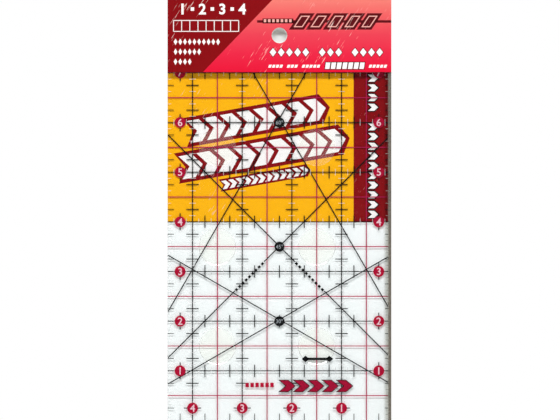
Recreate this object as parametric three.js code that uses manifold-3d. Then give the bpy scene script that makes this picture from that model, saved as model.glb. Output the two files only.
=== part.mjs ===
// A quilting ruler on the folded card it is sold in: a clear acrylic plate graduated in inches,
// with a honing strip bonded along one long edge and grip dots on its back.
// Millimetres, +Z up. The ruler hangs by its hole, so the origin is the middle of the hang hole,
// on the plate's printed back face. The front is read from -Y, and the honing strip is at +X.

import * as THREE from "three";
import { mergeVertices } from "three/addons/utils/BufferGeometryUtils.js";
import Module from "manifold-3d";

const wasm = await Module();
wasm.setup();

const INCH = 25.4;

// ---- Driving dimensions ----

// The plate is cut to a graduated size, so these two are in inches.
const WIDTH_INCHES = 4.5;
const LENGTH_INCHES = 8.5;
const PLATE_THICKNESS = 3;
const EDGE_BREAK = 0.2; // the small bevel on the plate's cut edges

const STRIP_WIDTH = 1.5; // the honing strip's share of the ruler's width
const STRIP_CHAMFER = 0.25;

const HOLE_DIAMETER = 8;
const HOLE_BELOW_TOP = 0.75 * INCH;

// The print is four layers of ink on the back face. The first, white one is left to the finish.
const INK = 0.06; // thickness of one layer
const GRID_LINE = 0.5;
const TICK_LINE = 0.5;
const ANGLE_LINE = 0.56;
const QUARTER_TICK = 0.25 * INCH;
const DISC_TICK = 0.345 * INCH; // the tick behind a number disc, which shows on both sides of it
const NUMBER_DISC_DIAMETER = 5.6;
const ANGLE_DISC_DIAMETER = 5.2;
const QUARTER = 0.25; // inches from an edge to the first quarter mark

// Each pair of angle lines: its slope, the height of its disc, how far above the middle of the
// disc the two cross, and the stretch of each lower leg, from the crossing, that is left bare.
const ANGLES = [
  { degrees: 60, discInches: 6, crossesAbove: 2 },
  { degrees: 45, discInches: 3.5, crossesAbove: 0.2, bare: [0.44 * INCH, 1.27 * INCH] },
  { degrees: 30, discInches: 2, crossesAbove: 0.8 },
];

const DOT_INCHES = 0.75; // across
const DOT_FIRST = 1.5; // inches from the right and bottom edges to the first dot
const DOT_PITCH = 2; // inches between dots
const DOT_THICKNESS = 0.5;
const DOT_TAPER = 0.2; // how much smaller the dot's radius is at its outer face

// The card is one folded board: a tall back, a narrow top and a short front.
const BOARD = 0.45;
const CARD_GAP = 0.3; // between the board and what it lies on
const FRONT_REACH = 1.5 * INCH; // how far each panel hangs down from the plate's top edge
const BACK_REACH = 4.5 * INCH;
const FOLD_GAP = 0.15; // leaves the front panel's fold free to turn

const HOLE_SIDES = 40;
const GRIP_DOT_SIDES = 32;
const INK_DISC_SIDES = 24;

// ---- Places that follow from them ----

const WIDTH = WIDTH_INCHES * INCH;
const LENGTH = LENGTH_INCHES * INCH;
const LEFT = -WIDTH / 2;
const RIGHT = WIDTH / 2;
const STRIP_INNER = RIGHT - STRIP_WIDTH;
const TOP = HOLE_BELOW_TOP;
const BOTTOM = TOP - LENGTH;
const HOLE_RADIUS = HOLE_DIAMETER / 2;

// The ruler is graduated from its right edge and its bottom edge.
const fromRight = (inches) => RIGHT - inches * INCH;
const fromBottom = (inches) => BOTTOM + inches * INCH;

// Marks from a first one, a pitch apart, that keep a margin inside the limit. All are in inches.
function marks(first, pitch, limit, margin = 0) {
  const made = [];
  for (let at = first; at + margin < limit; at += pitch) made.push(at);
  return made;
}

const COLUMNS = marks(1, 1, WIDTH_INCHES);
const ROWS = marks(1, 1, LENGTH_INCHES);
const HALF_COLUMNS = marks(0.5, 1, WIDTH_INCHES);
const HALF_ROWS = marks(0.5, 1, LENGTH_INCHES);
const QUARTER_COLUMNS = marks(QUARTER, 2 * QUARTER, WIDTH_INCHES);
const QUARTER_ROWS = marks(QUARTER, 2 * QUARTER, LENGTH_INCHES);
const LEFT_QUARTER = QUARTER_COLUMNS.at(-1);

// A number is printed where its whole disc fits on the plate.
const DISC_MARGIN = (NUMBER_DISC_DIAMETER / 2 + EDGE_BREAK) / INCH;
const NUMBER_COLUMNS = marks(1, 1, WIDTH_INCHES, DISC_MARGIN);
const NUMBER_ROWS = marks(1, 1, LENGTH_INCHES, DISC_MARGIN);

// Ink layers counted back from the plate: 0 white, 1 discs, 2 black, 3 red.
const layerMiddle = (layer) => (layer + 0.5) * INK;
const PRINT_BACK = 4 * INK;
const DOT_BACK = PRINT_BACK + DOT_THICKNESS;

const BACK_PANEL_FRONT = DOT_BACK + CARD_GAP;
const FRONT_PANEL_BACK = -PLATE_THICKNESS - CARD_GAP;
const SPINE_BOTTOM = TOP + CARD_GAP;
const CARD_TOP = SPINE_BOTTOM + BOARD;

// ---- Materials ----

const finish = (color, roughness, more = {}) =>
  new THREE.MeshStandardMaterial({ color, roughness, metalness: 0, ...more });

const acrylic = finish("#f2f6f5", 0.08, { transparent: true, opacity: 0.3 });
const grit = finish("#8a8278", 0.85, { metalness: 0.2 });
const blackInk = finish("#22252a", 0.6);
const redInk = finish("#c83a68", 0.6);
const discInk = finish("#c00a32", 0.55);
const gripFilm = finish("#f0efe8", 0.75, { transparent: true, opacity: 0.6 });
const printedBoard = finish("#e8263f", 0.4);
const yellowBoard = finish("#fdb808", 0.45);

// ---- Tools ----

function solid(geometry) {
  geometry.deleteAttribute("normal");
  geometry.deleteAttribute("uv");
  const merged = mergeVertices(geometry, 1e-5);
  return new wasm.Manifold(
    new wasm.Mesh({
      numProp: 3,
      vertProperties: new Float32Array(merged.attributes.position.array),
      triVerts: new Uint32Array(merged.index.array),
    }),
  );
}

function geometryOf(manifold) {
  const mesh = manifold.getMesh();
  const geometry = new THREE.BufferGeometry();
  geometry.setAttribute("position", new THREE.BufferAttribute(mesh.vertProperties, 3));
  geometry.setIndex(new THREE.BufferAttribute(mesh.triVerts, 1));
  geometry.computeVertexNormals();
  return geometry;
}

function part(name, geometry, material, x = 0, y = 0, z = 0) {
  const mesh = new THREE.Mesh(geometry, material);
  mesh.name = name;
  mesh.position.set(x, y, z);
  return mesh;
}

function group(...children) {
  const made = new THREE.Group();
  made.add(...children);
  return made;
}

// An outline drawn in x and z becomes a sheet from y = 0 forward to -thickness.
function sheet(outline, thickness, edgeBreak = 0) {
  const geometry = new THREE.ExtrudeGeometry(outline, {
    depth: thickness - 2 * edgeBreak,
    bevelEnabled: edgeBreak > 0,
    bevelThickness: edgeBreak,
    bevelSize: edgeBreak,
    bevelOffset: -edgeBreak,
    bevelSegments: 1,
    curveSegments: HOLE_SIDES / 2,
  });
  geometry.translate(0, 0, edgeBreak);
  geometry.rotateX(Math.PI / 2);
  return geometry;
}

function rectangle(left, right, bottom, top) {
  const outline = new THREE.Shape();
  outline.moveTo(left, bottom);
  outline.lineTo(right, bottom);
  outline.lineTo(right, top);
  outline.lineTo(left, top);
  outline.closePath();
  return outline;
}

function withHangHole(outline) {
  const hole = new THREE.Path();
  hole.absarc(0, 0, HOLE_RADIUS, 0, 2 * Math.PI, true);
  outline.holes.push(hole);
  return outline;
}

// ---- Plate, honing strip and grip dots ----

function plate() {
  return sheet(withHangHole(rectangle(LEFT, STRIP_INNER, BOTTOM, TOP)), PLATE_THICKNESS, EDGE_BREAK);
}

// The strip's section, drawn in x and y: square against the plate, chamfered on the blade's side.
function honingStrip() {
  const section = new THREE.Shape();
  section.moveTo(0, 0);
  section.lineTo(0, -PLATE_THICKNESS);
  section.lineTo(STRIP_WIDTH - STRIP_CHAMFER, -PLATE_THICKNESS);
  section.lineTo(STRIP_WIDTH, STRIP_CHAMFER - PLATE_THICKNESS);
  section.lineTo(STRIP_WIDTH, -STRIP_CHAMFER);
  section.lineTo(STRIP_WIDTH - STRIP_CHAMFER, 0);
  section.closePath();
  return new THREE.ExtrudeGeometry(section, { depth: LENGTH, bevelEnabled: false });
}

function gripDots() {
  const radius = (DOT_INCHES / 2) * INCH;
  const dot = new THREE.CylinderGeometry(radius - DOT_TAPER, radius, DOT_THICKNESS, GRIP_DOT_SIDES);
  const columns = marks(DOT_FIRST, DOT_PITCH, WIDTH_INCHES, DOT_INCHES / 2);
  const rows = marks(DOT_FIRST, DOT_PITCH, LENGTH_INCHES, DOT_INCHES / 2);
  const places = rows.flatMap((row) => columns.map((column) => [fromRight(column), fromBottom(row)]));
  return places.map(([x, z], i) =>
    part(`grip_dot_${i + 1}`, dot, gripFilm, x, PRINT_BACK + DOT_THICKNESS / 2, z),
  );
}

// ---- Print ----

// One stroke of ink, centred on x and z and running along x before it is tilted.
function stroke(x, z, length, width, tilt = 0) {
  const geometry = new THREE.BoxGeometry(length, INK, width);
  geometry.rotateY(-THREE.MathUtils.degToRad(tilt));
  geometry.translate(x, 0, z);
  return solid(geometry);
}

const PRINT_WIDTH = STRIP_INNER - LEFT - 2 * EDGE_BREAK;
const PRINT_LENGTH = LENGTH - 2 * EDGE_BREAK;
const PRINT_X = (STRIP_INNER + LEFT) / 2;
const PRINT_Z = (TOP + BOTTOM) / 2;

const acrossLine = (inches) => stroke(PRINT_X, fromBottom(inches), PRINT_WIDTH, GRID_LINE);
const uprightLine = (inches) => stroke(fromRight(inches), PRINT_Z, PRINT_LENGTH, GRID_LINE, 90);
const tick = (column, row, length, tilt) =>
  stroke(fromRight(column), fromBottom(row), length, TICK_LINE, tilt);

function quarterTicks() {
  const onUprights = COLUMNS.flatMap((column) =>
    QUARTER_ROWS.map((row) => tick(column, row, row === QUARTER ? DISC_TICK : QUARTER_TICK, 0)),
  );
  const behindDisc = (column) => column === QUARTER || column === LEFT_QUARTER;
  const onAcross = ROWS.flatMap((row) =>
    QUARTER_COLUMNS.map((column) =>
      tick(column, row, behindDisc(column) ? DISC_TICK : QUARTER_TICK, 90),
    ),
  );
  return [...onUprights, ...onAcross];
}

// Both lines of a pair run right across the plate, apart from the bare stretch of a lower leg.
function anglePair({ degrees, discInches, crossesAbove, bare }) {
  const z = fromBottom(discInches) + crossesAbove;
  const reach = 2 * Math.hypot(WIDTH, LENGTH);
  return [degrees, 180 - degrees].map((tilt) => {
    const line = stroke(0, z, reach, ANGLE_LINE, tilt);
    if (!bare) return line;
    const turn = THREE.MathUtils.degToRad(tilt);
    const middle = (bare[0] + bare[1]) / 2;
    const gap = new THREE.BoxGeometry(bare[1] - bare[0], 2 * INK, 2 * ANGLE_LINE);
    gap.rotateY(-turn);
    gap.translate(-middle * Math.cos(turn), 0, z - middle * Math.sin(turn));
    return line.subtract(solid(gap));
  });
}

// Joins strokes into one film of ink, cut off at the print's border and round the hang hole.
function film(strokes) {
  const joined = strokes.reduce((all, next) => all.add(next));
  const border = stroke(PRINT_X, PRINT_Z, PRINT_WIDTH, PRINT_LENGTH);
  const clear = HOLE_RADIUS + EDGE_BREAK;
  const drill = solid(new THREE.CylinderGeometry(clear, clear, 2 * INK, HOLE_SIDES));
  return geometryOf(joined.intersect(border).subtract(drill));
}

function blackGrid() {
  const lines = [...COLUMNS.map(uprightLine), ...ROWS.map(acrossLine)];
  return film([...lines, ...quarterTicks(), ...ANGLES.flatMap(anglePair)]);
}

function redGrid() {
  return film([...HALF_COLUMNS.map(uprightLine), ...HALF_ROWS.map(acrossLine)]);
}

function inkDisc(diameter) {
  return new THREE.CylinderGeometry(diameter / 2, diameter / 2, INK, INK_DISC_SIDES);
}

function numberDiscs() {
  const shape = inkDisc(NUMBER_DISC_DIAMETER);
  const place = (name, column, row) =>
    part(name, shape, discInk, fromRight(column), layerMiddle(1), fromBottom(row));
  return [
    ...NUMBER_ROWS.map((row) => place(`number_disc_left_${row}`, LEFT_QUARTER, row)),
    ...NUMBER_ROWS.map((row) => place(`number_disc_right_${row}`, QUARTER, row)),
    ...NUMBER_COLUMNS.map((column) => place(`number_disc_bottom_${column}`, column, QUARTER)),
  ];
}

function angleDiscs() {
  const shape = inkDisc(ANGLE_DISC_DIAMETER);
  return ANGLES.map(({ degrees, discInches }) =>
    part(`angle_disc_${degrees}`, shape, blackInk, 0, layerMiddle(1), fromBottom(discInches)),
  );
}

// ---- Card ----

const backPanel = () => sheet(withHangHole(rectangle(LEFT, RIGHT, TOP - BACK_REACH, CARD_TOP)), BOARD);
const frontPanel = () => sheet(withHangHole(rectangle(LEFT, RIGHT, TOP - FRONT_REACH, CARD_TOP)), BOARD);

// The narrow top of the card runs from the back panel forward to the front panel's fold.
const SPINE_FRONT = FRONT_PANEL_BACK + FOLD_GAP;
const SPINE_MIDDLE = (SPINE_FRONT + BACK_PANEL_FRONT) / 2;
const spine = () => new THREE.BoxGeometry(WIDTH, BACK_PANEL_FRONT - SPINE_FRONT, BOARD);

// ---- The assembly ----

const ruler = group(
  part("ruler_plate", plate(), acrylic),
  part("honing_strip", honingStrip(), grit, STRIP_INNER, 0, BOTTOM),
  part("black_grid", blackGrid(), blackInk, 0, layerMiddle(2), 0),
  part("red_grid", redGrid(), redInk, 0, layerMiddle(3), 0),
  ...numberDiscs(),
  ...angleDiscs(),
  ...gripDots(),
);

const card = group(
  part("card_back_panel", backPanel(), yellowBoard, 0, BACK_PANEL_FRONT + BOARD, 0),
  part("card_spine", spine(), printedBoard, 0, SPINE_MIDDLE, SPINE_BOTTOM + BOARD / 2),
);

// The front panel folds up about the middle of the board, level with the middle of the spine.
const flap = group(part("card_front_panel", frontPanel(), printedBoard, 0, FRONT_PANEL_BACK, 0));

export default group(ruler, card, flap);
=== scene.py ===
# %% [markdown]
# # A quilting ruler on its hanging card
#
# The real thing is a sheet of clear acrylic, printed on its back with an inch grid, with a strip
# of honing grit down one edge and frosted grip dots behind. It hangs in a folded, printed board.
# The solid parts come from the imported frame. This lesson gives them their finishes, and adds the
# thin things that a frame of solids leaves out: numbers, fine ticks, and the print on the card.

# %% The frame
import math

import bmesh
import bpy
from mathutils import Matrix, Vector


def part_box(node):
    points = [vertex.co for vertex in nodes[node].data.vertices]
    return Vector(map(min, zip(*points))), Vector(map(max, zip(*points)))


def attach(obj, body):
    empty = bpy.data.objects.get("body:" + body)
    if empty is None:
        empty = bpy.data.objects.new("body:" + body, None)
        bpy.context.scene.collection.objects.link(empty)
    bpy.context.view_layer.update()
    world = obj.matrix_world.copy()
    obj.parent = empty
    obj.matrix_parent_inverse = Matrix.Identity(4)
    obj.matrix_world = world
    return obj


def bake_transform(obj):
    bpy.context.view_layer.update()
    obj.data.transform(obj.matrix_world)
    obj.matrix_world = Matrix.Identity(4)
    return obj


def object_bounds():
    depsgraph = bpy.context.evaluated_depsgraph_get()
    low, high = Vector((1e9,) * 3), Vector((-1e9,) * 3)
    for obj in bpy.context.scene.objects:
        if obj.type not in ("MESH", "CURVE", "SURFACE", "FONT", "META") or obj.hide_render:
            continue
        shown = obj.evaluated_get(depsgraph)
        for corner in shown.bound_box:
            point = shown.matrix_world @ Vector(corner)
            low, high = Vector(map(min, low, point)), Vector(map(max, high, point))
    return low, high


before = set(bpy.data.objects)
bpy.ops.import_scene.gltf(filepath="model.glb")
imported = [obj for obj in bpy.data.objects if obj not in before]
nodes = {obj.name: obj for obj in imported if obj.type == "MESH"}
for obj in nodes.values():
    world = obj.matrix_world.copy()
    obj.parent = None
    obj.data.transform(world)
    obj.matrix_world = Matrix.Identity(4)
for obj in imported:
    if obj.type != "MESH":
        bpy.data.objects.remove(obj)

cad_low, cad_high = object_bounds()
print("nodes:", len(nodes), "box in mm:", [round(1000 * side, 2) for side in cad_high - cad_low])

# %% [markdown]
# Everything on the ruler is placed in inches, counted from its right and bottom edges, because
# that is how a quilter reads it and how its printer laid it out. Two small functions turn those
# inches into metres in the frame.

# %% Inches on the ruler
MM = 0.001
INCH = 25.4 * MM
plate_low, plate_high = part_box("ruler_plate")
strip_low, strip_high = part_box("honing_strip")
RIGHT, BOTTOM = strip_high.x, plate_low.z
LEFT, TOP = plate_low.x, plate_high.z
WIDTH_INCHES = (RIGHT - LEFT) / INCH
LENGTH_INCHES = (TOP - BOTTOM) / INCH


def across(inches):
    """The x of a mark that many inches from the ruler's right edge."""
    return RIGHT - inches * INCH


def up(inches):
    """The z of a mark that many inches from the ruler's bottom edge."""
    return BOTTOM + inches * INCH


print("ruler in inches:", round(WIDTH_INCHES, 3), "by", round(LENGTH_INCHES, 3))

# %% [markdown]
# ## The camera and the room
#
# A flat ruler is best seen straight on, with no perspective, the way a flatbed scanner sees it.
# A very long lens far away does that, and still gives good views from other angles. The picture
# is a little shorter than the ruler, so that the ruler fills it from edge to edge.

# %% Camera
PICTURE_SHAPE = 560 / 420
SHOWN_LENGTH = 0.994  # of the ruler's length
CAMERA_DISTANCE = 2.5
CAMERA_RIGHT = 0.28 * MM
CAMERA_DOWN = 0.3 * MM

camera_data = bpy.data.cameras.new("camera")
camera = bpy.data.objects.new("camera", camera_data)
bpy.context.scene.collection.objects.link(camera)
bpy.context.scene.camera = camera
picture_width = SHOWN_LENGTH * (TOP - BOTTOM) * PICTURE_SHAPE
camera_data.lens = camera_data.sensor_width * CAMERA_DISTANCE / picture_width
camera_data.clip_end = 20
camera_height = (TOP + BOTTOM) / 2 - CAMERA_DOWN
camera.location = (CAMERA_RIGHT, plate_low.y - CAMERA_DISTANCE, camera_height)
camera.rotation_euler = (math.radians(90), 0, 0)
print("lens in mm:", round(camera_data.lens, 1))

# %% [markdown]
# Shaders want linear light, but colours are easier to read and compare as the sRGB hex codes of a
# paint program. One function turns the one into the other. A second one adds a shader node: its
# keyword arguments are the node's own settings, and a dictionary fills its inputs, each with a
# plain value or with another node's output.


# %% Colour and nodes
def linear(code):
    """The linear RGBA of an sRGB hex colour, such as "c00a32"."""
    parts = [int(code[i : i + 2], 16) / 255 for i in (0, 2, 4)]
    return [p / 12.92 if p <= 0.04045 else ((p + 0.055) / 1.055) ** 2.4 for p in parts] + [1.0]


def add(tree, kind, inputs=None, **settings):
    """Adds a shader node, sets it up, fills its inputs, and returns it."""
    made = tree.nodes.new("ShaderNode" + kind)
    for name, value in settings.items():
        setattr(made, name, value)
    for name, value in (inputs or {}).items():
        if isinstance(value, bpy.types.NodeSocket):
            tree.links.new(value, made.inputs[name])
        else:
            made.inputs[name].default_value = value
    return made


def empty_material(name):
    """A new material with no nodes in it yet, and its node tree."""
    made = bpy.data.materials.new(name)
    made.use_nodes = True
    made.node_tree.nodes.clear()
    return made, made.node_tree


# %% [markdown]
# The world is a plain white room. What the camera and the glass see is pure white, and what
# lights the ruler is an even grey. Mirror reflections get a dark patch behind the camera, as if a
# black cloth hung there, so that a glossy sheet shows no white veil.

# %% World
AMBIENT = 0.24
REFLECTED_ROOM = 0.55
REFLECTED_CLOTH = 0.03
CLOTH_WHOLE, CLOTH_GONE = -0.97, -0.6  # the y of the directions where the cloth fades out

world = bpy.data.worlds.new("white_room")
bpy.context.scene.world = world
world.use_nodes = True
sky = world.node_tree
sky.nodes.clear()
rays = add(sky, "LightPath")
direction = add(sky, "TexCoord")
axes = add(sky, "SeparateXYZ", {"Vector": direction.outputs["Generated"]})
cloth = add(
    sky,
    "MapRange",
    {
        "Value": axes.outputs["Y"],
        "From Min": CLOTH_WHOLE,
        "From Max": CLOTH_GONE,
        "To Min": REFLECTED_CLOTH,
        "To Max": REFLECTED_ROOM,
    },
    interpolation_type="SMOOTHSTEP",
)
ambient_light = add(sky, "Background", {"Color": linear("ffffff"), "Strength": AMBIENT})
reflected = add(
    sky, "Background", {"Color": linear("ffffff"), "Strength": cloth.outputs["Result"]}
)
seen_white = add(sky, "Background", {"Color": linear("ffffff"), "Strength": 1.0})
with_gloss = add(
    sky,
    "MixShader",
    {0: rays.outputs["Is Glossy Ray"], 1: ambient_light.outputs[0], 2: reflected.outputs[0]},
)
seen = add(
    sky,
    "Math",
    {0: rays.outputs["Is Camera Ray"], 1: rays.outputs["Is Transmission Ray"]},
    operation="MAXIMUM",
)
all_rays = add(
    sky, "MixShader", {0: seen.outputs[0], 1: with_gloss.outputs[0], 2: seen_white.outputs[0]}
)
add(sky, "OutputWorld", {"Surface": all_rays.outputs[0]})
bpy.context.scene.view_settings.view_transform = "Standard"

# %% [markdown]
# One lamp stands above the camera: a long, thin tube lying across, as in a scanner. Each printed
# line drops a faint shadow a millimetre below itself, on whatever is behind the sheet, and that
# shadow tells the eye that the print floats in front. A long tube keeps the shadows of level
# lines crisp and melts those of upright ones. A wide, soft lamp behind lights the back of the
# card. A lamp's power grows with the square of its distance.

# %% Lamps
LAMP_DISTANCE = 1.3
aim = Vector((0, 0, (TOP + BOTTOM) / 2))


def add_lamp(name, share, height_angle, turn, length, thickness):
    """Adds a lamp that gives a surface facing it level that share of white's brightness."""
    data = bpy.data.lights.new(name, "AREA")
    data.shape = "RECTANGLE"
    data.size = length
    data.size_y = thickness
    data.energy = share * (math.pi * LAMP_DISTANCE) ** 2 / math.cos(height_angle)
    made = bpy.data.objects.new(name, data)
    bpy.context.scene.collection.objects.link(made)
    level = Vector((math.sin(turn), -math.cos(turn), 0)) * math.cos(height_angle)
    away = level + Vector((0, 0, math.sin(height_angle)))
    made.location = aim + LAMP_DISTANCE * away
    made.rotation_euler = away.to_track_quat("Z", "Y").to_euler()
    made.visible_camera = False
    print(name, "power in watts:", round(data.energy, 1))


add_lamp(
    "tube_lamp", share=0.7, height_angle=math.radians(35), turn=0.0, length=1.2, thickness=0.16
)
add_lamp(
    "back_lamp",
    share=0.56,
    height_angle=math.radians(30),
    turn=math.radians(180),
    length=1.0,
    thickness=0.6,
)

# %% [markdown]
# The floor is a pale disc below the hanging ruler. Right behind the ruler stands a white board,
# like a scanner's lid. Only light that has passed through the acrylic meets it, so it shows
# through the clear parts with the print's shadows on it, and hides nothing from behind. To the
# camera itself it shows only from the front, in the round window where the hang hole is.


# %% Floor and lid
def only_in_window(tree, coat, window):
    """A surface that the camera sees only from its front, and only near the hang hole."""
    place = add(tree, "TexCoord")
    level = add(
        tree, "VectorMath", {0: place.outputs["Object"], 1: (1, 0, 1)}, operation="MULTIPLY"
    )
    reach = add(tree, "VectorMath", {0: level.outputs[0]}, operation="LENGTH")
    outside = add(
        tree, "Math", {0: reach.outputs["Value"], 1: window}, operation="GREATER_THAN"
    )
    side = add(tree, "NewGeometry")
    hidden = add(
        tree, "Math", {0: outside.outputs[0], 1: side.outputs["Backfacing"]}, operation="MAXIMUM"
    )
    rays = add(tree, "LightPath")
    unseen = add(
        tree, "Math", {0: hidden.outputs[0], 1: rays.outputs["Is Camera Ray"]}, operation="MULTIPLY"
    )
    nothing = add(tree, "BsdfTransparent")
    return add(
        tree, "MixShader", {0: unseen.outputs[0], 1: coat.outputs[0], 2: nothing.outputs[0]}
    )


def white_paint(name, glow, window=None):
    """Matt white emulsion, as in a studio. A little light of its own keeps it pale."""
    made, tree = empty_material(name)
    coat = add(
        tree,
        "BsdfPrincipled",
        {
            "Base Color": linear("eff2f1"),
            "Roughness": 0.9,
            "Emission Color": linear("ffffff"),
            "Emission Strength": glow,
        },
    )
    if window:
        coat = only_in_window(tree, coat, window)
    add(tree, "OutputMaterial", {"Surface": coat.outputs[0]})
    return made


FLOOR_BELOW = 50 * MM
FLOOR_RADIUS = 1.0
FLOOR_GLOW = 0.1
LID_BEHIND = 0.4 * MM  # behind the card
LID_HALF = 0.15
LID_GLOW = 0.07
HOLE_WINDOW = 4.5 * MM  # a little wider than the hole's own radius

floor_mesh = bmesh.new()
bmesh.ops.create_circle(floor_mesh, cap_ends=True, segments=96, radius=FLOOR_RADIUS)
bmesh.ops.translate(floor_mesh, vec=(0, 0, BOTTOM - FLOOR_BELOW), verts=floor_mesh.verts)
floor_data = bpy.data.meshes.new("floor")
floor_mesh.to_mesh(floor_data)
floor = bpy.data.objects.new("floor", floor_data)

lid_mesh = bmesh.new()
lid_turn = Matrix.Rotation(math.radians(90), 4, "X")
lid_place = Matrix.Translation((0, cad_high.y + LID_BEHIND, aim.z)) @ lid_turn
bmesh.ops.create_grid(lid_mesh, x_segments=1, y_segments=1, size=LID_HALF, matrix=lid_place)
lid_data = bpy.data.meshes.new("scanner_lid")
lid_mesh.to_mesh(lid_data)
lid = bpy.data.objects.new("scanner_lid", lid_data)
lid.visible_shadow = False
lid.visible_diffuse = False
lid.visible_glossy = False

for stage_piece, glow, window in ((floor, FLOOR_GLOW, None), (lid, LID_GLOW, HOLE_WINDOW)):
    bpy.context.scene.collection.objects.link(stage_piece)
    paint = white_paint(stage_piece.name + "_white_emulsion", glow, window)
    stage_piece.data.materials.append(paint)

# %% [markdown]
# ## Finishes
#
# The sheet is cast acrylic, polymethyl methacrylate. It is as clear as glass but bends light a
# little less, with an index of refraction of 1.49, and it is very slightly cool and grey. A glass
# shader blocks lamps in a path tracer, and makes rays of glass of the soft light that comes back
# from what lies behind it. So it is kept for the rays that the eye follows, and for all others it
# is swapped for a transparent one: print and card are then lit as if they lay in the open.
#
# Acrylic is soft, and handling leaves hair-fine scuffs, all about one way, where the gloss is
# dulled. They are a noise pattern squeezed hard in one direction, and kept to a few worn patches
# by a second, broad noise. Beside the honing strip, the sheet's colour is greyed: a painted shade.


# %% Clear to light
def clear_to_light(tree, solid_shader, clear_colour):
    """Ends a glassy material, letting lamps and soft light straight through it."""
    clear = add(tree, "BsdfTransparent", {"Color": clear_colour})
    light = add(tree, "LightPath")
    followed = add(
        tree,
        "Math",
        {0: light.outputs["Is Camera Ray"], 1: light.outputs["Is Transmission Ray"]},
        operation="MAXIMUM",
    )
    both = add(
        tree,
        "MixShader",
        {0: followed.outputs[0], 1: clear.outputs[0], 2: solid_shader.outputs[0]},
    )
    add(tree, "OutputMaterial", {"Surface": both.outputs[0]})


# %% Cast acrylic
# The streaks are scuffs on the sheet and painted glints on the card.
STREAK_LENGTH = 7 * MM
STREAK_WIDTH = 0.45 * MM
STREAK_SLANT = math.radians(-58)
PATCH_SIZE = 22 * MM
# How far from the honing strip the painted shade on the sheet reaches.
PAINTED_SHADE_REACH = 3 * MM


def scuff_and_glint_mask(tree, place):
    """A value that is up to 0.7 in a scuff and 0 elsewhere.

    A scuff is where the streaks rise above a bar, and the bar is lower in a few broad patches.
    On the sheet a scuff dulls the gloss; on the card the same mask paints pale glints.
    """
    lie = add(
        tree,
        "Mapping",
        {
            "Vector": place.outputs["Object"],
            "Rotation": (0, STREAK_SLANT, 0),
            "Scale": (STREAK_LENGTH, STREAK_LENGTH, STREAK_WIDTH),
        },
        vector_type="TEXTURE",
    )
    streaks = add(tree, "TexNoise", {"Vector": lie.outputs[0], "Scale": 1.0, "Detail": 1.0})
    patches = add(
        tree,
        "TexNoise",
        {"Vector": place.outputs["Object"], "Scale": 1 / PATCH_SIZE, "Detail": 0.0},
    )
    wear_and_glint = add(
        tree,
        "MapRange",
        {
            "Value": patches.outputs[0],
            "From Min": 0.45,
            "From Max": 0.7,
            "To Min": 0.8,
            "To Max": 0.66,
        },
    )
    deep = add(
        tree, "Math", {0: streaks.outputs[0], 1: wear_and_glint.outputs["Result"]}, operation="SUBTRACT"
    )
    return add(
        tree,
        "MapRange",
        {"Value": deep.outputs[0], "From Min": 0.0, "From Max": 0.08, "To Max": 0.7},
    )


def cast_acrylic():
    """Clear acrylic sheet."""
    made, tree = empty_material("cast_acrylic")
    place = add(tree, "TexCoord")
    scratched = scuff_and_glint_mask(tree, place)
    dulled = add(
        tree,
        "MapRange",
        {"Value": scratched.outputs["Result"], "To Min": 0.015, "To Max": 0.15},
    )
    where = add(tree, "SeparateXYZ", {"Vector": place.outputs["Object"]})
    # Painted shade: the sheet's colour greys towards the honing strip.
    near_strip = add(
        tree,
        "MapRange",
        {
            "Value": where.outputs["X"],
            "From Min": strip_low.x - PAINTED_SHADE_REACH,
            "From Max": strip_low.x,
        },
        interpolation_type="SMOOTHSTEP",
    )
    tint_with_painted_shade = add(
        tree,
        "Mix",
        {0: near_strip.outputs["Result"], 6: linear("fdfeff"), 7: linear("c9c8c0")},
        data_type="RGBA",
    )
    sheet = add(
        tree,
        "BsdfPrincipled",
        {
            "Base Color": tint_with_painted_shade.outputs[2],
            "Roughness": dulled.outputs["Result"],
            "IOR": 1.49,
            "Transmission Weight": 1.0,
        },
    )
    clear_to_light(tree, sheet, linear("feffff"))
    return made


# %% [markdown]
# The inks are screen printed: an even, matt film with a faint mottle, where the squeegee laid a
# little more or less. The mottle is finer than a line is wide. Black and white inks hide what is
# behind them. The reds are more of a stain: some light goes through and takes their colour, so
# that they look bright on white paper and almost black on a dark card. One function makes them
# all, from the colour of the ink and the share of light that it stops.


# %% Screen ink
def screen_ink(name, colour, deeper, stain=None, cover=1.0):
    """Printing ink. deeper is its colour where the film is thickest, and stain what passes."""
    made, tree = empty_material(name)
    place = add(tree, "TexCoord")
    mottle = add(
        tree,
        "TexNoise",
        {"Vector": place.outputs["Object"], "Scale": 1 / (1.2 * MM), "Detail": 3.0},
    )
    spread = add(
        tree, "MapRange", {"Value": mottle.outputs[0], "From Min": 0.35, "From Max": 0.7}
    )
    film = add(
        tree,
        "Mix",
        {0: spread.outputs["Result"], 6: linear(colour), 7: linear(deeper)},
        data_type="RGBA",
    )
    ink = add(
        tree,
        "BsdfPrincipled",
        {"Base Color": film.outputs[2], "Roughness": 0.5, "Specular IOR Level": 0.1},
    )
    surface = ink
    if stain:
        passing = add(tree, "BsdfTransparent", {"Color": linear(stain)})
        surface = add(tree, "MixShader", {0: cover, 1: passing.outputs[0], 2: ink.outputs[0]})
    add(tree, "OutputMaterial", {"Surface": surface.outputs[0]})
    return made


# %% [markdown]
# The honing strip is diamond powder in resin: a dull brown-grey band of tiny grains, with a few
# bright points. A Voronoi pattern gives each grain its own tone and its own small bump. Real
# grains are under a tenth of a millimetre, and they are drawn at a quarter so that they show.


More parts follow.
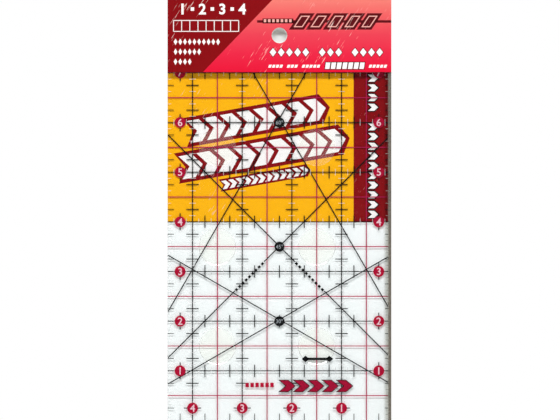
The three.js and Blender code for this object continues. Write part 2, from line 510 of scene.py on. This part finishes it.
# %% Honing grit
def honing_grit():
    """Dark grit bonded in resin."""
    made, tree = empty_material("diamond_grit_in_resin")
    place = add(tree, "TexCoord")
    grains = add(
        tree, "TexVoronoi", {"Vector": place.outputs["Object"], "Scale": 1 / (0.25 * MM)}
    )
    tone = add(tree, "SeparateColor", {"Color": grains.outputs["Color"]})
    resin = add(tree, "ValToRGB", {"Fac": tone.outputs["Red"]})
    resin.color_ramp.elements[0].color = linear("443d33")
    resin.color_ramp.elements[1].color = linear("7c7468")
    sparkle = add(
        tree,
        "MapRange",
        {"Value": tone.outputs["Green"], "From Min": 0.9, "From Max": 0.94, "To Max": 0.8},
    )
    relief = add(
        tree,
        "Bump",
        {"Strength": 0.6, "Distance": 0.1 * MM, "Height": grains.outputs["Distance"]},
    )
    grit = add(
        tree,
        "BsdfPrincipled",
        {
            "Base Color": resin.outputs["Color"],
            "Metallic": sparkle.outputs["Result"],
            "Roughness": 0.55,
            "Normal": relief.outputs["Normal"],
        },
    )
    add(tree, "OutputMaterial", {"Surface": grit.outputs[0]})
    return made


# %% [markdown]
# A grip dot is a disc of soft clear film with a frosted face, which keeps the ruler from sliding
# on cloth. Frosting scatters light: nearly all of it passes, a little spread, and a small share
# comes back as a milky haze, which only shows where something dark is behind it. The film is
# stuck to the sheet with no air between, so its front hardly reflects, and its index of refraction
# is set well below that of real silicone, 1.41.


# %% Frosted film
def frosted_film():
    """Frosted clear film, for the grip dots."""
    made, tree = empty_material("frosted_silicone_film")
    place = add(tree, "TexCoord")
    pebble = add(
        tree, "TexVoronoi", {"Vector": place.outputs["Object"], "Scale": 1 / (0.35 * MM)}
    )
    relief = add(
        tree,
        "Bump",
        {"Strength": 0.1, "Distance": 0.02 * MM, "Height": pebble.outputs["Distance"]},
    )
    film = add(
        tree,
        "BsdfPrincipled",
        {
            "Base Color": linear("fffffd"),
            "Roughness": 0.12,
            "IOR": 1.15,
            "Transmission Weight": 0.96,
            "Normal": relief.outputs["Normal"],
        },
    )
    clear_to_light(tree, film, linear("fffffd"))
    return made


# %% [markdown]
# The card is coated paperboard: white clay on the outside, grey fibre in the middle where it is
# cut, and ink under a gloss varnish on the printed side. The side that a face belongs to is told
# by its normal, so one function serves every panel, whichever way its print faces. A printed side
# may fade from colour to colour on its way up, and may have another colour at its left. The same
# hair-fine streaks as on the sheet are painted paler into the print: painted glints.


# %% Coated board
FORWARD = (0, -1, 0)
UPWARD = (0, 0, 1)


def coated_board(
    name, colours, foot=0.0, head=1.0, printed=FORWARD, left_colour=None, left_of=0.0
):
    """Board with one printed side, in colours evenly spaced from height foot to height head."""
    made, tree = empty_material(name)
    place = add(tree, "TexCoord")
    where = add(tree, "SeparateXYZ", {"Vector": place.outputs["Object"]})
    height = add(
        tree, "MapRange", {"Value": where.outputs["Z"], "From Min": foot, "From Max": head}
    )
    ramp = add(tree, "ValToRGB", {"Fac": height.outputs["Result"]})
    stops = ramp.color_ramp.elements
    while len(stops) < len(colours):
        stops.new(0.5)
    for i, colour in enumerate(colours):
        stops[i].position = i / (len(colours) - 1)
        stops[i].color = linear(colour)
    print_colour = ramp.outputs["Color"]
    if left_colour:
        at_left = add(tree, "Math", {0: where.outputs["X"], 1: left_of}, operation="LESS_THAN")
        split = add(
            tree,
            "Mix",
            {0: at_left.outputs[0], 6: print_colour, 7: linear(left_colour)},
            data_type="RGBA",
        )
        print_colour = split.outputs[2]
    # Painted glints: pale streaks mixed into the print colour.
    wear_and_glint = scuff_and_glint_mask(tree, place)
    print_with_painted_glints = add(
        tree,
        "Mix",
        {0: wear_and_glint.outputs["Result"], 6: print_colour, 7: linear("ffd9d0")},
        data_type="RGBA",
    )
    fibres = add(
        tree,
        "TexNoise",
        {"Vector": place.outputs["Object"], "Scale": 1 / (0.8 * MM), "Detail": 4.0},
    )
    core = add(tree, "ValToRGB", {"Fac": fibres.outputs[0]})
    core.color_ramp.elements[0].color = linear("b9b2a6")
    core.color_ramp.elements[1].color = linear("efece4")
    clay = add(tree, "ValToRGB", {"Fac": fibres.outputs[0]})
    clay.color_ramp.elements[0].color = linear("e0ded8")
    clay.color_ramp.elements[1].color = linear("f3f2ee")
    facing = add(
        tree,
        "VectorMath",
        {0: place.outputs["Normal"], 1: printed},
        operation="DOT_PRODUCT",
    )
    away = add(tree, "Math", {0: facing.outputs["Value"], 1: -0.5}, operation="LESS_THAN")
    unprinted = add(
        tree,
        "Mix",
        {0: away.outputs[0], 6: core.outputs["Color"], 7: clay.outputs["Color"]},
        data_type="RGBA",
    )
    towards = add(tree, "Math", {0: facing.outputs["Value"], 1: 0.5}, operation="GREATER_THAN")
    surface = add(
        tree,
        "Mix",
        {0: towards.outputs[0], 6: unprinted.outputs[2], 7: print_with_painted_glints.outputs[2]},
        data_type="RGBA",
    )
    relief = add(
        tree, "Bump", {"Strength": 0.08, "Distance": 0.02 * MM, "Height": fibres.outputs[0]}
    )
    board = add(
        tree,
        "BsdfPrincipled",
        {
            "Base Color": surface.outputs[2],
            "Roughness": 0.22,
            "Specular IOR Level": 0.5,
            "Normal": relief.outputs["Normal"],
        },
    )
    add(tree, "OutputMaterial", {"Surface": board.outputs[0]})
    return made


# %% [markdown]
# Now each part of the frame gets its finish. A node's mesh isn't touched: only the material in
# its slot changes.

# %% Finishes on the frame
front_low, front_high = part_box("card_front_panel")
back_low, back_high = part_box("card_back_panel")

black_ink = screen_ink("black_screen_ink", "08090a", "040506")
red_ink = screen_ink("crimson_line_ink", "c81e5a", "be1850", "dc3274", 0.65)
disc_ink = screen_ink("crimson_disc_ink", "cc0a40", "c2083a", "e23c62", 0.6)
thin_white_ink = screen_ink("thin_white_screen_ink", "f6f2f2", "ece6e6", "ffffff", 0.42)
rosy_ink = screen_ink("rosy_white_screen_ink", "f0c8d0", "e8bec8")
grey_ink = screen_ink("pale_grey_ink", "9a9ea2", "8a8e92")
HEADER_FADE = ("e40632", "e62242", "e63e50", "ea5c5e", "ee8074")
DEEP_RED = "860008"
FOLD_RED = HEADER_FADE[-1]
SLANT_HEAD, SLANT_FOOT = across(2.33), across(3.8)  # the slanting edge of the flap's deep red
red_card = coated_board("varnished_red_board", HEADER_FADE, front_low.z, front_high.z)
spine_card = coated_board(
    "varnished_spine_board",
    (FOLD_RED, FOLD_RED),
    printed=UPWARD,
    left_colour=DEEP_RED,
    left_of=SLANT_HEAD,
)
yellow_card = coated_board("varnished_yellow_board", ("ffb500", "ffb500"))

finish_of = {
    "ruler_plate": cast_acrylic(),
    "honing_strip": honing_grit(),
    "black_grid": black_ink,
    "red_grid": red_ink,
    "card_front_panel": red_card,
    "card_spine": spine_card,
    "card_back_panel": yellow_card,
}
frosted = frosted_film()
for name, node in nodes.items():
    finish = finish_of.get(name)
    if name.startswith("number_disc"):
        finish = disc_ink
    elif name.startswith("angle_disc"):
        finish = black_ink
    elif name.startswith("grip_dot"):
        finish = frosted
    node.data.materials.clear()
    node.data.materials.append(finish)

# %% [markdown]
# ## Fine print on the ruler
#
# The frame has the grid and the discs. What is left is loose on the sheet: white eighth-inch
# ticks, short ticks along the edges, the numbers, and a few plain signs. Ink has almost no
# thickness, so each of these is a set of flat shapes between two depths. Print is laid from the
# front of the picture backwards, so the white goes down first, nearest to the acrylic.


# %% Strokes
def depth_of(node_name):
    """The front and back y of a node, which is the layer of ink that it lies in."""
    low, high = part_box(node_name)
    return low.y, high.y


DISC_LAYER = depth_of("angle_disc_45")
BLACK_LAYER = depth_of("black_grid")
WHITE_LAYER = (0.1 * DISC_LAYER[0], 0.9 * DISC_LAYER[0])


def add_stroke(mesh, x, z, length, width, layer, tilt=0.0):
    """Adds one straight stroke, centred on x and z and tilted up from the horizontal."""
    front, back = layer
    place = Matrix.Translation((x, (front + back) / 2, z)) @ Matrix.Rotation(-tilt, 4, "Y")
    shape = Matrix.Diagonal((length, back - front, width, 1))
    bmesh.ops.create_cube(mesh, size=1, matrix=place @ shape)


def finished(mesh, name, material, body):
    """Turns a bmesh into an object that rides on a body, if any, with the given finish."""
    data = bpy.data.meshes.new(name)
    mesh.to_mesh(data)
    mesh.free()
    data.materials.append(material)
    made = bpy.data.objects.new(name, data)
    bpy.context.scene.collection.objects.link(made)
    if body:
        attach(made, body)
    print(name, len(data.polygons), "faces")
    return made


# %% [markdown]
# The eighth-inch ticks cross every black line halfway between the quarter marks. They are white,
# so they show over the card and over dark cloth, and vanish on white paper. The edges carry
# shorter ones, with black ticks at the quarters.

# %% Eighth and edge ticks
EIGHTH_TICK = 0.13 * INCH
EDGE_TICK = 0.125 * INCH
TICK_WIDTH = 0.36 * MM
WHITE_TICK_WIDTH = 0.26 * MM
STRIP_TICK = 0.05 * INCH  # beside the honing strip
STRIP_TICK_IN = 0.03 * INCH  # from the strip to the tick's middle
LEFT_TICK = 0.06 * INCH
LEFT_TICK_IN = 0.04 * INCH
BOTTOM_TICK = 0.14 * INCH
INNER_RIGHT = strip_low.x


def steps(first, pitch, limit):
    """Evenly spaced marks in inches, from the first one up to the limit."""
    return [first + pitch * i for i in range(int((limit - first) / pitch) + 1)]


columns = steps(1, 1, WIDTH_INCHES)
rows = steps(1, 1, LENGTH_INCHES)

SIGN_ROWS = (0.55, 0.85)  # inches from the bottom, where the signs go and no white tick does

white_ticks = bmesh.new()
for column in columns:
    for row in steps(0.125, 0.25, LENGTH_INCHES):
        if SIGN_ROWS[0] < row < SIGN_ROWS[1] and column < 3:
            continue
        add_stroke(white_ticks, across(column), up(row), EIGHTH_TICK, WHITE_TICK_WIDTH, WHITE_LAYER)
for row in rows:
    for column in steps(0.125, 0.25, WIDTH_INCHES):
        add_stroke(white_ticks, across(column), up(row), WHITE_TICK_WIDTH, EIGHTH_TICK, WHITE_LAYER)
for row in steps(0.125, 0.25, LENGTH_INCHES):
    for middle, length in (
        (INNER_RIGHT - STRIP_TICK_IN, STRIP_TICK),
        (LEFT + LEFT_TICK_IN, LEFT_TICK),
    ):
        add_stroke(white_ticks, middle, up(row), length, WHITE_TICK_WIDTH, WHITE_LAYER)
finished(white_ticks, "white_eighth_ticks", thin_white_ink, "ruler")

edge_ticks = bmesh.new()
tick_end = RIGHT - EDGE_TICK
tick_middle = (tick_end + INNER_RIGHT) / 2
for row in steps(0.25, 0.5, LENGTH_INCHES):
    add_stroke(edge_ticks, LEFT + EDGE_TICK / 2, up(row), EDGE_TICK, TICK_WIDTH, BLACK_LAYER)
    add_stroke(
        edge_ticks, tick_middle, up(row), INNER_RIGHT - tick_end, TICK_WIDTH, BLACK_LAYER
    )
for column in steps(0.25, 0.5, WIDTH_INCHES):
    add_stroke(
        edge_ticks, across(column), BOTTOM + BOTTOM_TICK / 2, TICK_WIDTH, BOTTOM_TICK, BLACK_LAYER
    )
finished(edge_ticks, "black_edge_ticks", black_ink, "ruler")

# %% [markdown]
# Numbers are Blender's own text, made into a mesh. The font's digits are measured and scaled to
# the height that they are printed at, so the result doesn't hang on the font's own spacing. A
# small outward offset makes them as bold as printed ones. Their white is thin, and lies on red and
# black discs, so the inch numbers are a pale rose and the angle numbers grey.


# %% Numbers
def add_number(mesh, text, x, z, height, layer, boldness):
    """Adds a number, centred on x and z and read from the front."""
    words = bpy.data.curves.new("words", "FONT")
    words.body = text
    words.extrude = 0.5
    words.offset = boldness
    maker = bpy.data.objects.new("words", words)
    digits = bpy.data.meshes.new_from_object(maker)
    across_text = [v.co.x for v in digits.vertices]
    up_text = [v.co.y for v in digits.vertices]
    middle_x = (max(across_text) + min(across_text)) / 2
    middle_y = (max(up_text) + min(up_text)) / 2
    scale = height / (max(up_text) - min(up_text))
    front, back = layer
    size = Matrix.Diagonal((scale, scale, back - front, 1))
    stand = Matrix.Rotation(math.radians(90), 4, "X")
    place = Matrix.Translation((x, (front + back) / 2, z))
    digits.transform(place @ stand @ size @ Matrix.Translation((-middle_x, -middle_y, 0)))
    mesh.from_mesh(digits)
    bpy.data.objects.remove(maker)
    bpy.data.curves.remove(words)
    bpy.data.meshes.remove(digits)


NUMBER_HEIGHT = 3.7 * MM
ANGLE_HEIGHT = 2.1 * MM
BOLDNESS = 0.01


def middle_of(node_name):
    """The middle of a piece's box."""
    low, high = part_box(node_name)
    return (low + high) / 2


inch_numbers = bmesh.new()
angle_numbers = bmesh.new()
for name in nodes:
    spot = middle_of(name)
    if name.startswith("number_disc"):
        number = name[-1]
        add_number(inch_numbers, number, spot.x, spot.z, NUMBER_HEIGHT, WHITE_LAYER, BOLDNESS)
    elif name.startswith("angle_disc"):
        angle = name[-2:] + "\N{DEGREE SIGN}"
        add_number(angle_numbers, angle, spot.x, spot.z, ANGLE_HEIGHT, WHITE_LAYER, BOLDNESS)
finished(inch_numbers, "inch_numbers", rosy_ink, "ruler")
finished(angle_numbers, "angle_numbers", grey_ink, "ruler")

# %% [markdown]
# ## Flat shapes
#
# The other signs, on the sheet and on the card, are flat shapes with straight sides, and two
# outlines are enough for nearly all of them: a chevron, which points to the right, and a bar,
# which may lean. Their corners are given for a shape at the middle of nowhere, then turned and
# moved. A shape can be drawn in by a border, which is what an inset does, so that the same outline
# gives a dark edge and a light middle.


# %% Shape outlines
def chevron(width, height, reach):
    """A chevron pointing right, whose point and notch are both reach deep."""
    side, top = width / 2, height / 2
    return [
        (-side, -top),
        (side - reach, -top),
        (side, 0),
        (side - reach, top),
        (-side, top),
        (reach - side, 0),
    ]


def bar(width, height, lean=0.0):
    """A bar, whose top is pushed to the right of its foot by lean."""
    side, top = width / 2, height / 2
    return [
        (-side - lean / 2, -top),
        (side - lean / 2, -top),
        (side + lean / 2, top),
        (-side + lean / 2, top),
    ]


def diamond(width, height):
    """A diamond standing on its point."""
    return [(0, -height / 2), (width / 2, 0), (0, height / 2), (-width / 2, 0)]


def add_shape(mesh, outline, x, z, layer, tilt=0.0, border=0.0):
    """Adds a flat shape at x and z, tilted up from the horizontal and drawn in by a border."""
    front, back = layer
    shape = bmesh.new()
    face = shape.faces.new([shape.verts.new((along, 0, rise)) for along, rise in outline])
    face.normal_update()
    if border:
        rim = bmesh.ops.inset_region(
            shape, faces=[face], thickness=border, use_boundary=True, use_even_offset=True
        )
        bmesh.ops.delete(shape, geom=rim["faces"], context="FACES")
    grown = bmesh.ops.extrude_face_region(shape, geom=shape.faces[:])
    far_side = [item for item in grown["geom"] if isinstance(item, bmesh.types.BMVert)]
    bmesh.ops.translate(shape, vec=(0, back - front, 0), verts=far_side)
    bmesh.ops.recalc_face_normals(shape, faces=shape.faces)
    place = Matrix.Translation((x, front, z)) @ Matrix.Rotation(-tilt, 4, "Y")
    bmesh.ops.transform(shape, matrix=place, verts=shape.verts)
    flat = bpy.data.meshes.new("shape")
    shape.to_mesh(flat)
    shape.free()
    mesh.from_mesh(flat)
    bpy.data.meshes.remove(flat)


def row_of(start, pitch, row, count, skipped=()):
    """Places a pitch apart, going right from start, all in inches, leaving out the skipped ones."""
    return [(across(start - pitch * i), up(row)) for i in range(count) if i not in skipped]


def add_row(mesh, outline, places, layer, tilt=0.0, border=0.0):
    """Adds the same shape at each of several places."""
    for x, z in places:
        add_shape(mesh, outline, x, z, layer, tilt, border)


# %% [markdown]
# Near the bottom edge are a few plain signs. Chevrons point at the honing edge, which is the edge
# to run a rotary blade along, and a double arrow lies along the ruler's straight measure. The gaps
# in the two 45 degree lines, which show the bias of the cloth, are filled with dashes.

# %% Signs on the ruler
CHEVRON_ROW = 0.695  # inches from the bottom
SIGN_BORDER = 0.35 * MM
sign = chevron(0.36 * INCH, 0.25 * INCH, 0.15 * INCH)
sign_places = row_of(2.1, 0.29, CHEVRON_ROW, 5)

dark_signs = bmesh.new()
add_row(dark_signs, sign, sign_places, BLACK_LAYER)

ARROW_X, ARROW_Z = across(1.485), up(1.24)
SHAFT_LENGTH = 0.45 * INCH
HEAD_OUT = 0.24 * INCH
arrow_head = diamond(0.16 * INCH, 0.13 * INCH)
add_shape(dark_signs, bar(SHAFT_LENGTH, 0.05 * INCH), ARROW_X, ARROW_Z, BLACK_LAYER)
for way in (-1, 1):
    add_shape(dark_signs, arrow_head, ARROW_X + way * HEAD_OUT, ARROW_Z, BLACK_LAYER)
finished(dark_signs, "dark_signs", black_ink, "ruler")

red_signs = bmesh.new()
add_row(red_signs, sign, sign_places, DISC_LAYER, border=SIGN_BORDER)
for x, z in row_of(2.9, 0.1, CHEVRON_ROW + 0.02, 6):
    add_stroke(red_signs, x, z, 0.07 * INCH, 0.09 * INCH, DISC_LAYER)
finished(red_signs, "red_signs", disc_ink, "ruler")

bias_dashes = bmesh.new()
cross = middle_of("angle_disc_45")
DASHES = 9
BARE_FROM, BARE_TO = 0.44 * INCH, 1.27 * INCH
dash_pitch = (BARE_TO - BARE_FROM) / DASHES
for side in (-1, 1):
    for i in range(DASHES):
        out = (BARE_FROM + (i + 0.5) * dash_pitch) * math.sqrt(0.5)
        add_stroke(
            bias_dashes,
            cross.x + side * out,
            cross.z - out,
            0.6 * dash_pitch,
            0.05 * INCH,
            BLACK_LAYER,
            -side * math.radians(45),
        )
finished(bias_dashes, "bias_dashes", black_ink, "ruler")

# %% [markdown]
# ## Print on the card
#
# The front flap hangs over the top of the ruler, and the back panel shows through the acrylic.
# Both are printed. Inks on board lie one over another, so each colour is a layer of its own, a
# fiftieth of a millimetre in front of the last. The whole design points to the honing edge, on
# the right, with chevrons, diamonds and bars, and has no words.

# %% Layers on the card
CARD_INK = 0.02 * MM


def card_layer(panel_low, number):
    """The front and back y of a layer of ink on a panel's front, counted from 1."""
    return panel_low.y - number * CARD_INK, panel_low.y - (number - 1) * CARD_INK


deep_red = coated_board("deep_red_print", (DEEP_RED, DEEP_RED))
white_print = coated_board("white_print", ("fbf6f4", "fbf6f4"))
black_print = coated_board("black_print", ("1a0c0e", "1a0c0e"))
maroon_print = coated_board("maroon_print", ("5a0a12", "5a0a12"))
pink_print = coated_board("pale_pink_print", ("f0aaa0", "f0aaa0"))

# %% [markdown]
# The flap's left corner is deep red, cut off by a slanting line. It holds a number scale, a
# picture of the ruler lying on its side, and three rows of small diamonds, for the diamond grit.

# %% The flap's corner
CARD_LEFT, CARD_RIGHT = front_low.x, front_high.x
FLAP_FOOT, FLAP_HEAD = front_low.z, front_high.z
FLAP_PRINT_1, FLAP_PRINT_2, FLAP_PRINT_3 = (card_layer(front_low, n) for n in (1, 2, 3))

corner = bmesh.new()
corner_outline = [
    (CARD_LEFT, FLAP_FOOT),
    (SLANT_FOOT, FLAP_FOOT),
    (SLANT_HEAD, FLAP_HEAD),
    (CARD_LEFT, FLAP_HEAD),
]
add_shape(corner, corner_outline, 0, 0, FLAP_PRINT_1)
finished(corner, "flap_corner_print", deep_red, "flap")

flap_white = bmesh.new()
SCALE_START, SCALE_PITCH, SCALE_ROW = 4.2, 0.4, 8.28
SCALE_HEIGHT = 5.6 * MM
SCALE_BOLDNESS = 0.03
spacer = bar(0.07 * INCH, 0.07 * INCH)
for i, (x, z) in enumerate(row_of(SCALE_START, SCALE_PITCH, SCALE_ROW, 4)):
    add_number(flap_white, str(i + 1), x, z, SCALE_HEIGHT, FLAP_PRINT_2, SCALE_BOLDNESS)
spacer_places = row_of(SCALE_START - SCALE_PITCH / 2, SCALE_PITCH, SCALE_ROW, 3)
add_row(flap_white, spacer, spacer_places, FLAP_PRINT_2)

PICTURE_LEFT, PICTURE_RIGHT, PICTURE_ROW, PICTURE_HEIGHT = 4.38, 3.07, 7.94, 0.22
PICTURE_PARTS = 8
LINE = 0.4 * MM
picture_middle = across((PICTURE_LEFT + PICTURE_RIGHT) / 2)
picture_width = (PICTURE_LEFT - PICTURE_RIGHT) * INCH
for way in (-1, 1):
    edge = up(PICTURE_ROW) + way * PICTURE_HEIGHT * INCH / 2
    add_stroke(flap_white, picture_middle, edge, picture_width, LINE, FLAP_PRINT_2)
for i in range(PICTURE_PARTS + 1):
    line_x = across(PICTURE_LEFT) + picture_width * i / PICTURE_PARTS
    add_stroke(flap_white, line_x, up(PICTURE_ROW), LINE, PICTURE_HEIGHT * INCH, FLAP_PRINT_2)

small_diamond = diamond(0.075 * INCH, 0.13 * INCH)
for row, count in ((7.62, 10), (7.42, 6), (7.22, 4)):
    add_row(flap_white, small_diamond, row_of(4.34, 0.095, row, count), FLAP_PRINT_2)

# %% [markdown]
# The right of the flap has a thin dark band, a line of slanting bars, a row of wide diamonds and a
# row of dashes under it. The light shapes have dark borders, so that they stand out from the red.
# A thin dark line runs along the flap's foot.

# %% The flap's right
flap_dark = bmesh.new()
BAND_START, BAND_ROW = across(2.7), up(8.03)
band_middle = (BAND_START + CARD_RIGHT) / 2
band_length = CARD_RIGHT - BAND_START
add_stroke(flap_dark, band_middle, BAND_ROW, band_length, 0.05 * INCH, FLAP_PRINT_1)
add_stroke(flap_dark, across(2.28), up(8.04), 0.62 * INCH, 0.1 * INCH, FLAP_PRINT_1)

slanting = bar(0.3 * INCH, 0.33 * INCH, 0.22 * INCH)
slanting_places = row_of(1.8, 0.34, 8.03, 5)
add_row(flap_dark, slanting, slanting_places, FLAP_PRINT_1)
pale_lines = bmesh.new()
add_row(pale_lines, slanting, slanting_places, FLAP_PRINT_2, border=0.05 * INCH)
add_row(flap_dark, slanting, slanting_places, FLAP_PRINT_3, border=0.07 * INCH)
for x, z in row_of(2.54, 0.085, 8.045, 7):
    add_stroke(pale_lines, x, z, 0.05 * INCH, 0.06 * INCH, FLAP_PRINT_2)

wide_diamond = diamond(0.165 * INCH, 0.21 * INCH)
diamond_places = row_of(2.38, 0.165, 7.41, 14, skipped=(5, 9))
add_row(flap_dark, wide_diamond, diamond_places, FLAP_PRINT_1)
add_row(flap_white, wide_diamond, diamond_places, FLAP_PRINT_2, border=0.012 * INCH)

small_dash = bar(0.055 * INCH, 0.06 * INCH, 0.02 * INCH)
dash_places = row_of(2.44, 0.075, 7.13, 14, skipped=(4, 8)) + row_of(0.42, 0.075, 7.13, 5)
add_row(flap_white, small_dash, dash_places, FLAP_PRINT_2)

bold_places = row_of(1.28, 0.115, 7.14, 7)
add_row(flap_dark, bar(0.12 * INCH, 0.16 * INCH, 0.02 * INCH), bold_places, FLAP_PRINT_1)
add_row(flap_white, bar(0.09 * INCH, 0.13 * INCH, 0.02 * INCH), bold_places, FLAP_PRINT_2)

FOOT_LINE = 0.3 * MM
flap_middle = (CARD_LEFT + CARD_RIGHT) / 2
flap_width = CARD_RIGHT - CARD_LEFT
foot_row = FLAP_FOOT + FOOT_LINE / 2
add_stroke(flap_dark, flap_middle, foot_row, flap_width, FOOT_LINE, FLAP_PRINT_2)
finished(flap_white, "flap_white_print", white_print, "flap")
finished(pale_lines, "flap_pale_print", pink_print, "flap")
finished(flap_dark, "flap_dark_print", maroon_print, "flap")

# %% [markdown]
# Where the board folds, its printed skin bends in a tight curve and doesn't break. The frame has
# three flat panels with a hair's gap at each fold, because that is how a hinge is made of solids.
# So a thin printed skin is laid over each fold: it starts on the outer face, turns the corner in
# a tight curve and ends on the spine. The front one rides on no body and stays where it is made;
# the back one rides on the card.


# %% Folds
SKIN = 0.03 * MM  # how far the skin stands off the board
SKIN_DOWN = 0.06 * MM
SKIN_LAP = 0.15 * MM
CORNER_STEPS = 6


def fold_skin(name, outer_y, spine_y, outward, body):
    """A skin from the outer face, over the card's top corner, and a little way onto the spine."""
    path = [(outer_y + outward * SKIN, FLAP_HEAD - SKIN_DOWN)]
    for i in range(CORNER_STEPS + 1):
        turn = math.radians(90 * i / CORNER_STEPS)
        path.append(
            (outer_y + outward * SKIN * math.cos(turn), FLAP_HEAD + SKIN * math.sin(turn))
        )
    path.append((spine_y - outward * SKIN_LAP, FLAP_HEAD + SKIN))
    skin = bmesh.new()
    rows = [[skin.verts.new((x, y, z)) for x in (CARD_LEFT, CARD_RIGHT)] for y, z in path]
    for (left, right), (next_left, next_right) in zip(rows, rows[1:]):
        skin.faces.new((left, right, next_right, next_left))
    bmesh.ops.recalc_face_normals(skin, faces=skin.faces)
    bmesh.ops.solidify(skin, geom=skin.faces[:], thickness=0.8 * SKIN)
    bmesh.ops.recalc_face_normals(skin, faces=skin.faces)
    material = coated_board(
        name + "_board",
        (FOLD_RED, FOLD_RED),
        printed=(0, 0.8 * outward, 0.8),
        left_colour=DEEP_RED,
        left_of=SLANT_HEAD,
    )
    return finished(skin, name, material, body)


spine_low, spine_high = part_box("card_spine")
front_crease = fold_skin("front_fold", front_low.y, spine_low.y, -1, None)
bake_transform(front_crease)
fold_skin("back_fold", back_high.y, spine_high.y, 1, "card")

# %% [markdown]
# The back panel is yellow, with a deep red strip beside the honing edge and three tilted banners.
# Each banner is one long chevron, filled with short ones.

# %% The back panel
BACK_PRINT_1, BACK_PRINT_2, BACK_PRINT_3 = (card_layer(back_low, n) for n in (1, 2, 3))
STRIP_INNER = across(0.757)  # the left edge of the deep red strip
BANNER_TILT = math.radians(10)
BANNERS = (
    # inches from the right, from the bottom, length, height, chevrons, border
    (2.70, 6.05, 2.98, 0.60, 8, 0.075),
    (2.58, 5.38, 3.55, 0.62, 9, 0.075),
    (2.54, 4.89, 1.86, 0.25, 12, 0.04),
)

strip_print = bmesh.new()
strip_middle = (STRIP_INNER + CARD_RIGHT) / 2
strip_width = CARD_RIGHT - STRIP_INNER
panel_middle = (back_low.z + back_high.z) / 2
panel_height = back_high.z - back_low.z
add_stroke(strip_print, strip_middle, panel_middle, strip_width, panel_height, BACK_PRINT_1)
banner_white = bmesh.new()
for inches_in, inches_up, length, height, count, border in BANNERS:
    middle_x, middle_z = across(inches_in), up(inches_up)
    reach = 0.3 * height
    banner = chevron(length * INCH, height * INCH, reach * INCH)
    add_shape(strip_print, banner, middle_x, middle_z, BACK_PRINT_1, BANNER_TILT)
    pitch = (length - reach - border) / count
    gap = 1.3 * border
    short = chevron((pitch + reach - gap) * INCH, (height - 2 * border) * INCH, reach * INCH)
    for i in range(count):
        along = (i - (count - 1) / 2) * pitch * INCH
        add_shape(
            banner_white,
            short,
            middle_x + along * math.cos(BANNER_TILT),
            middle_z + along * math.sin(BANNER_TILT),
            BACK_PRINT_2,
            BANNER_TILT,
        )
finished(strip_print, "panel_deep_red_print", deep_red, "card")

# %% [markdown]
# A column of white arrowheads runs up the deep red strip, each in a black border.

# %% Arrowheads
ARROW_COLUMN, ARROW_FIRST, ARROW_PITCH = 0.377, 4.15, 0.196  # in inches
ARROW_COUNT, ARROW_GAP = 15, 10
arrowhead = chevron(0.29 * INCH, 0.185 * INCH, 0.1 * INCH)
arrow_places = [
    (across(ARROW_COLUMN), up(ARROW_FIRST + ARROW_PITCH * i))
    for i in range(ARROW_COUNT)
    if i != ARROW_GAP
]
banner_black = bmesh.new()
add_row(banner_black, arrowhead, arrow_places, BACK_PRINT_2)
add_row(banner_white, arrowhead, arrow_places, BACK_PRINT_3, border=0.022 * INCH)
finished(banner_white, "panel_white_print", white_print, "card")
finished(banner_black, "panel_black_print", black_print, "card")
